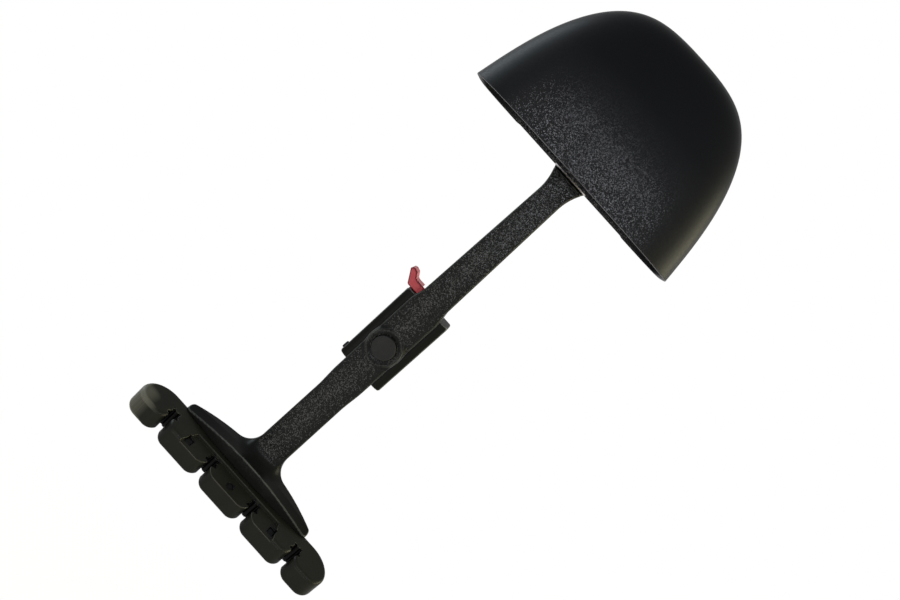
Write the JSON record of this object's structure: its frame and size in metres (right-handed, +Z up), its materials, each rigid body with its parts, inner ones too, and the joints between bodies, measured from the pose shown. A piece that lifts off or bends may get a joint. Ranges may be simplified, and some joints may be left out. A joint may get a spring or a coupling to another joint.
{
  "type": "bow quiver",
  "caption": "Bow-mounted arrow quiver: foam-filled dome hood, moulded stem, slit rubber arrow gripper and a dovetail bow bracket with a release lever.",
  "frame": {"origin": "middle of the bracket's bow face, halfway between its two bolt holes", "axes": "+Z up the stem towards the hood, +Y out of the bracket's back towards the bow, +X to the right seen from the front"},
  "size_m": [0.157, 0.0763, 0.3581],
  "materials": {
    "hood_plastic": "moulded black plastic with a fine spark-eroded grain",
    "foam": "open-cell foam",
    "stem_nylon": "glass-filled nylon with a fine grain",
    "cap_plastic": "smooth matt plastic",
    "shoe_acetal": "smooth acetal",
    "bracket_plastic": "smooth black moulding",
    "lever_red": "satin red plastic",
    "gripper_rubber": "matt moulded rubber",
    "steel": "zinc-plated steel",
    "black_steel": "blackened steel",
    "brass": "turned brass"
  },
  "bodies": {
    "bracket": {"bow_bracket": "bracket_plastic", "lever_pin": "steel", "lever_spring": "steel", "spring_screw": "black_steel"},
    "lever": {"release_lever": "lever_red"},
    "quiver": {"hood_shell": "hood_plastic", "hood_foam": "foam", "hood_screws": "steel", "hood_washers": "steel", "hood_inserts": "brass", "stem": "stem_nylon", "bolt_cap": "cap_plastic", "shoe_bolt": "steel", "bolt_washer": "steel", "shoe_nut": "steel", "slide_shoe": "shoe_acetal", "shoe_dowels": "steel", "arrow_gripper": "gripper_rubber", "gripper_plate": "shoe_acetal", "gripper_screws": "steel", "gripper_inserts": "brass"}
  },
  "joints": [
    {"name": "lever_pivot", "type": "hinge", "parent": "bracket", "child": "lever", "pos_m": [-0.014, -0.007, 0.022], "axis": [0, -1, 0], "range_deg": [0, 30], "stiffness_Nm_per_rad": 0.04, "springref_deg": -8.59, "deforming": ["lever_spring"]},
    {"name": "quiver_slide", "type": "slide", "parent": "bracket", "child": "quiver", "axis": [0, 0, 1], "range_m": [0, 0.056]}
  ]
}
